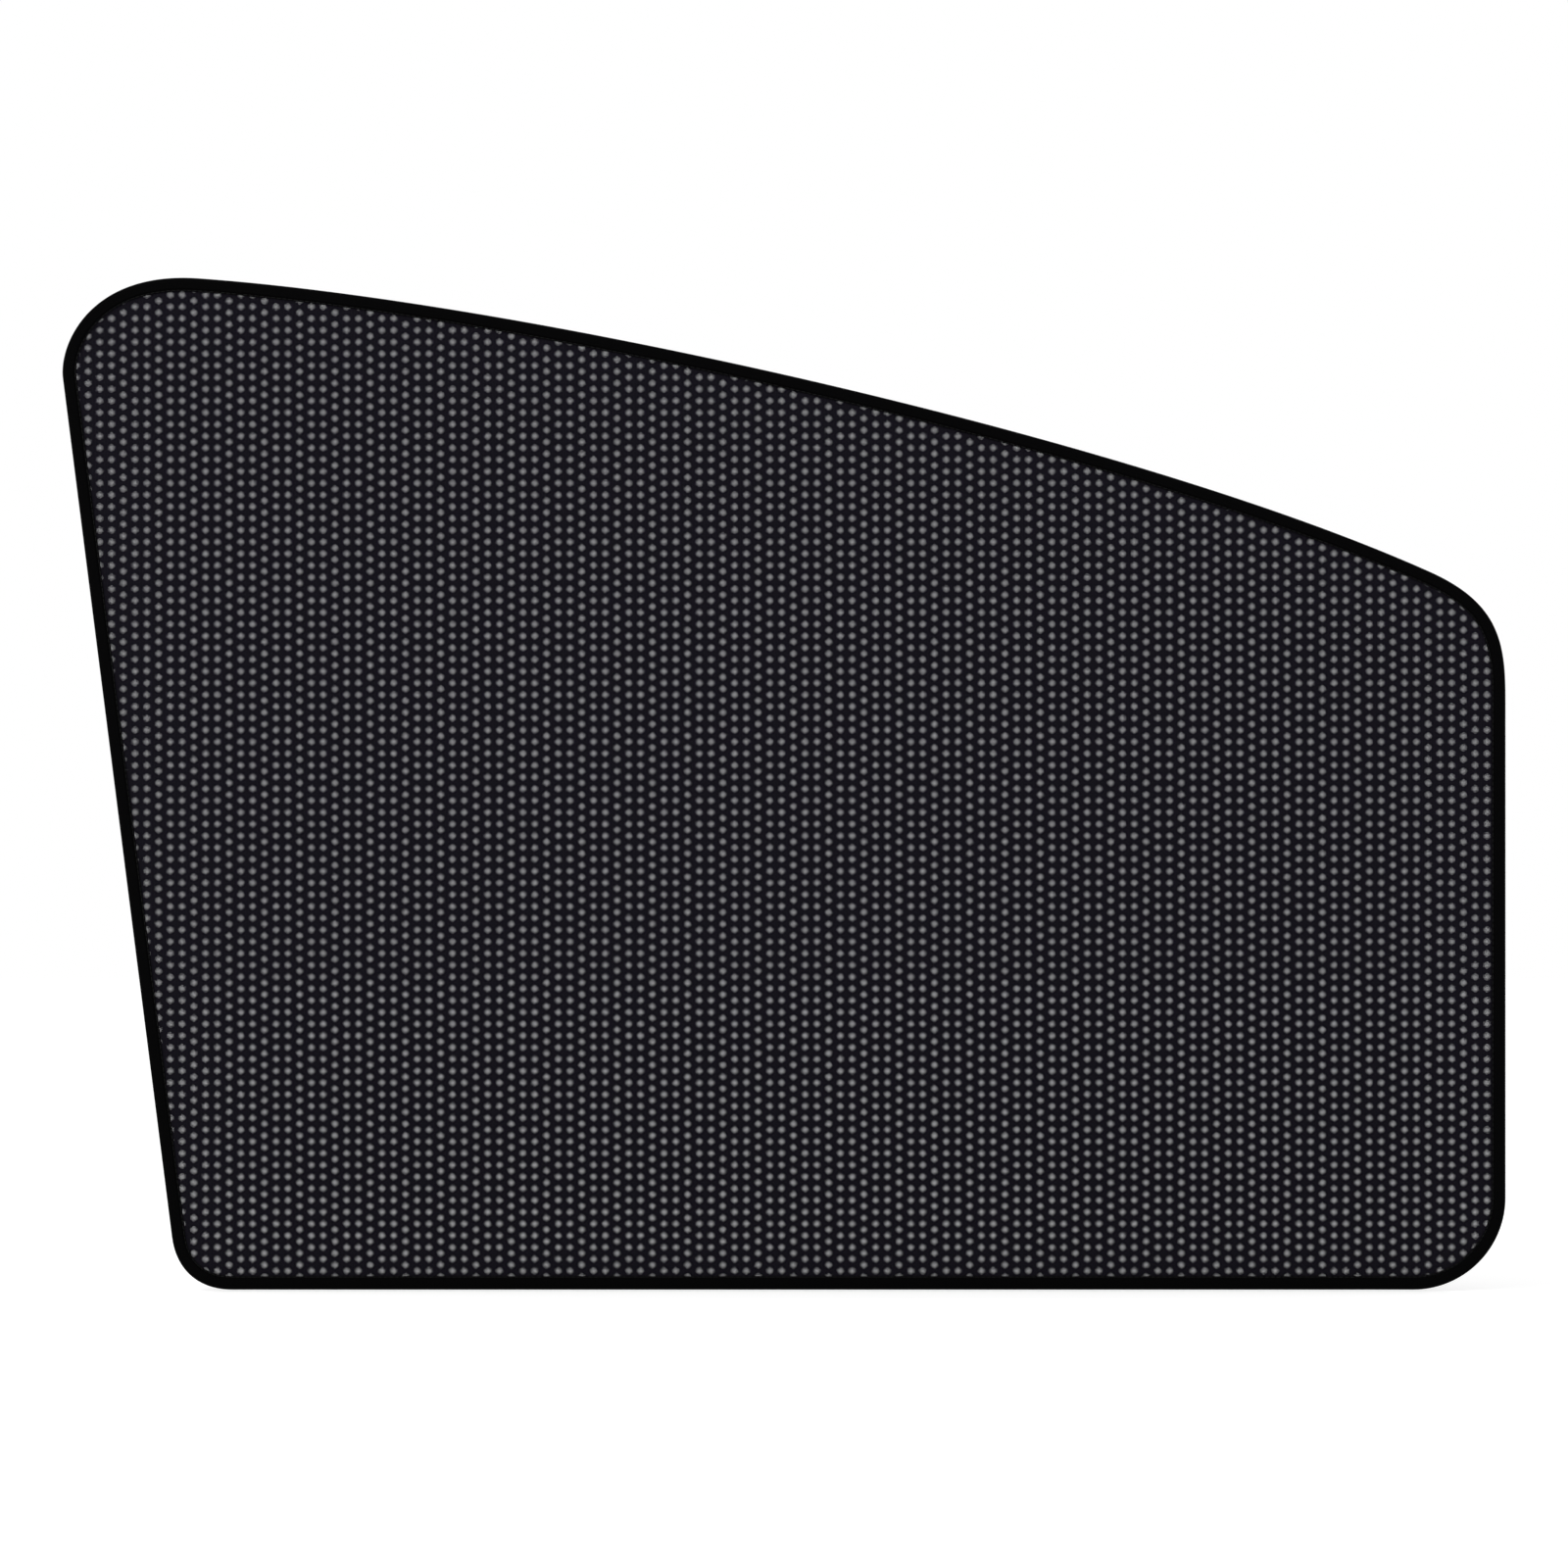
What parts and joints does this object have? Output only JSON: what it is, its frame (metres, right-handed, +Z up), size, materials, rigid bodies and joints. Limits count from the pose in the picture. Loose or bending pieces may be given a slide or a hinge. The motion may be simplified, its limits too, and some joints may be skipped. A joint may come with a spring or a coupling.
{
  "type": "car side window sunshade",
  "caption": "Window-shaped shade of dark perforated knitted net, with a narrow folded binding round a spring wire frame and bar magnets sealed in its rim.",
  "frame": {"origin": "middle of the shade's width and thickness, on the line of its lower edge", "axes": "+Z up, +X along the lower edge from the slanting front side to the upright rear side, +Y out of the glass side, so the cabin side looks along -Y"},
  "size_m": [0.736, 0.004, 0.516],
  "materials": {
    "binding_tape": "matt woven tape",
    "net": "matt knitted net",
    "wire": "drawn spring steel",
    "sleeve": "zinc plated",
    "magnet": "nickel plated"
  },
  "bodies": {
    "root": {"edge_binding": "binding_tape", "mesh_panel": "net", "frame_wire": "wire", "wire_sleeve": "sleeve", "magnet_01": "magnet", "magnet_02": "magnet", "magnet_03": "magnet", "magnet_04": "magnet", "magnet_05": "magnet", "magnet_06": "magnet", "magnet_07": "magnet", "magnet_08": "magnet", "magnet_09": "magnet", "magnet_10": "magnet", "magnet_11": "magnet", "magnet_12": "magnet"}
  },
  "joints": []
}
